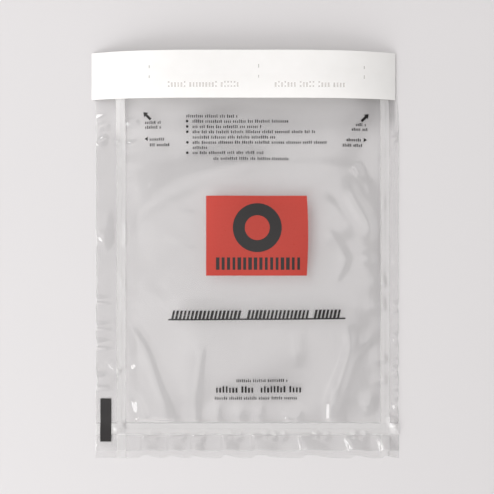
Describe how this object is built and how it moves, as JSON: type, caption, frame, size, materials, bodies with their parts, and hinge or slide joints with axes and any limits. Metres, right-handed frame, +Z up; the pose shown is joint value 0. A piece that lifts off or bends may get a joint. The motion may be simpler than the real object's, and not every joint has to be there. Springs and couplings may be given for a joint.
{
  "type": "leakproof specimen transport bag",
  "caption": "Flat clear polythene pouch with heat-sealed sides and bottom, loose film outside the seals, and an adhesive fold-over mouth under a white release liner.",
  "frame": {"origin": "centre of the outline, at the surface that the bag lies on", "axes": "+X across the bag to the right as its front is seen, +Y from the bottom hem to the lip, +Z up out of the front"},
  "size_m": [0.2314, 0.3048, 0.0143],
  "materials": {
    "clear_film": "clear blown polythene film, glossy",
    "adhesive": "pressure-sensitive adhesive, tacky",
    "liner_paper": "white silicone-coated paper, satin"
  },
  "bodies": {
    "root": {"back_panel": "clear_film", "front_panel": "clear_film", "lower_adhesive_band": "adhesive", "upper_adhesive_band": "adhesive", "release_liner": "liner_paper"}
  },
  "joints": []
}
